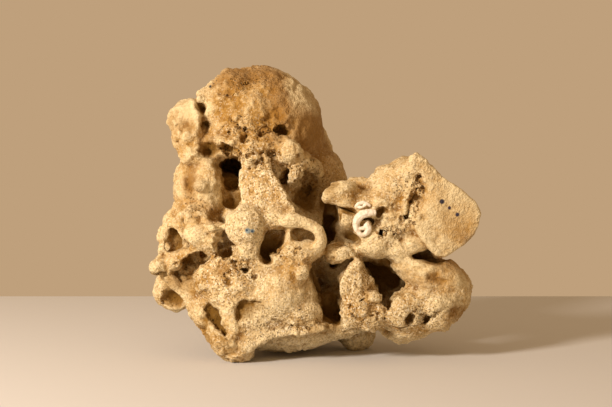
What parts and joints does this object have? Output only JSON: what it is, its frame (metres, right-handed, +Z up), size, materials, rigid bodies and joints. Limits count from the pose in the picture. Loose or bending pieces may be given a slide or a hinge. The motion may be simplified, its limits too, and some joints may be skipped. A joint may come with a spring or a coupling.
{
  "type": "porous beach stone",
  "caption": "Sea-worn lump of cemented shell sand: a tall dome beside a squared block and a rounded fist, riddled with pits, slots and a small arch.",
  "frame": {"origin": "on the ground under the middle of the stone's bounding box", "axes": "+X to the right of the face that shows the arch and along the longest extent, +Y away from that face and along the shortest extent, +Z up"},
  "size_m": [0.134, 0.083, 0.12],
  "materials": {
    "beach_rock": "rough cemented sand, tan, browner in the hollows",
    "tube_lime": "smooth cream-white lime"
  },
  "bodies": {
    "root": {"stone": "beach_rock", "worm_tube": "tube_lime", "thin_worm_tube": "tube_lime"}
  },
  "joints": []
}
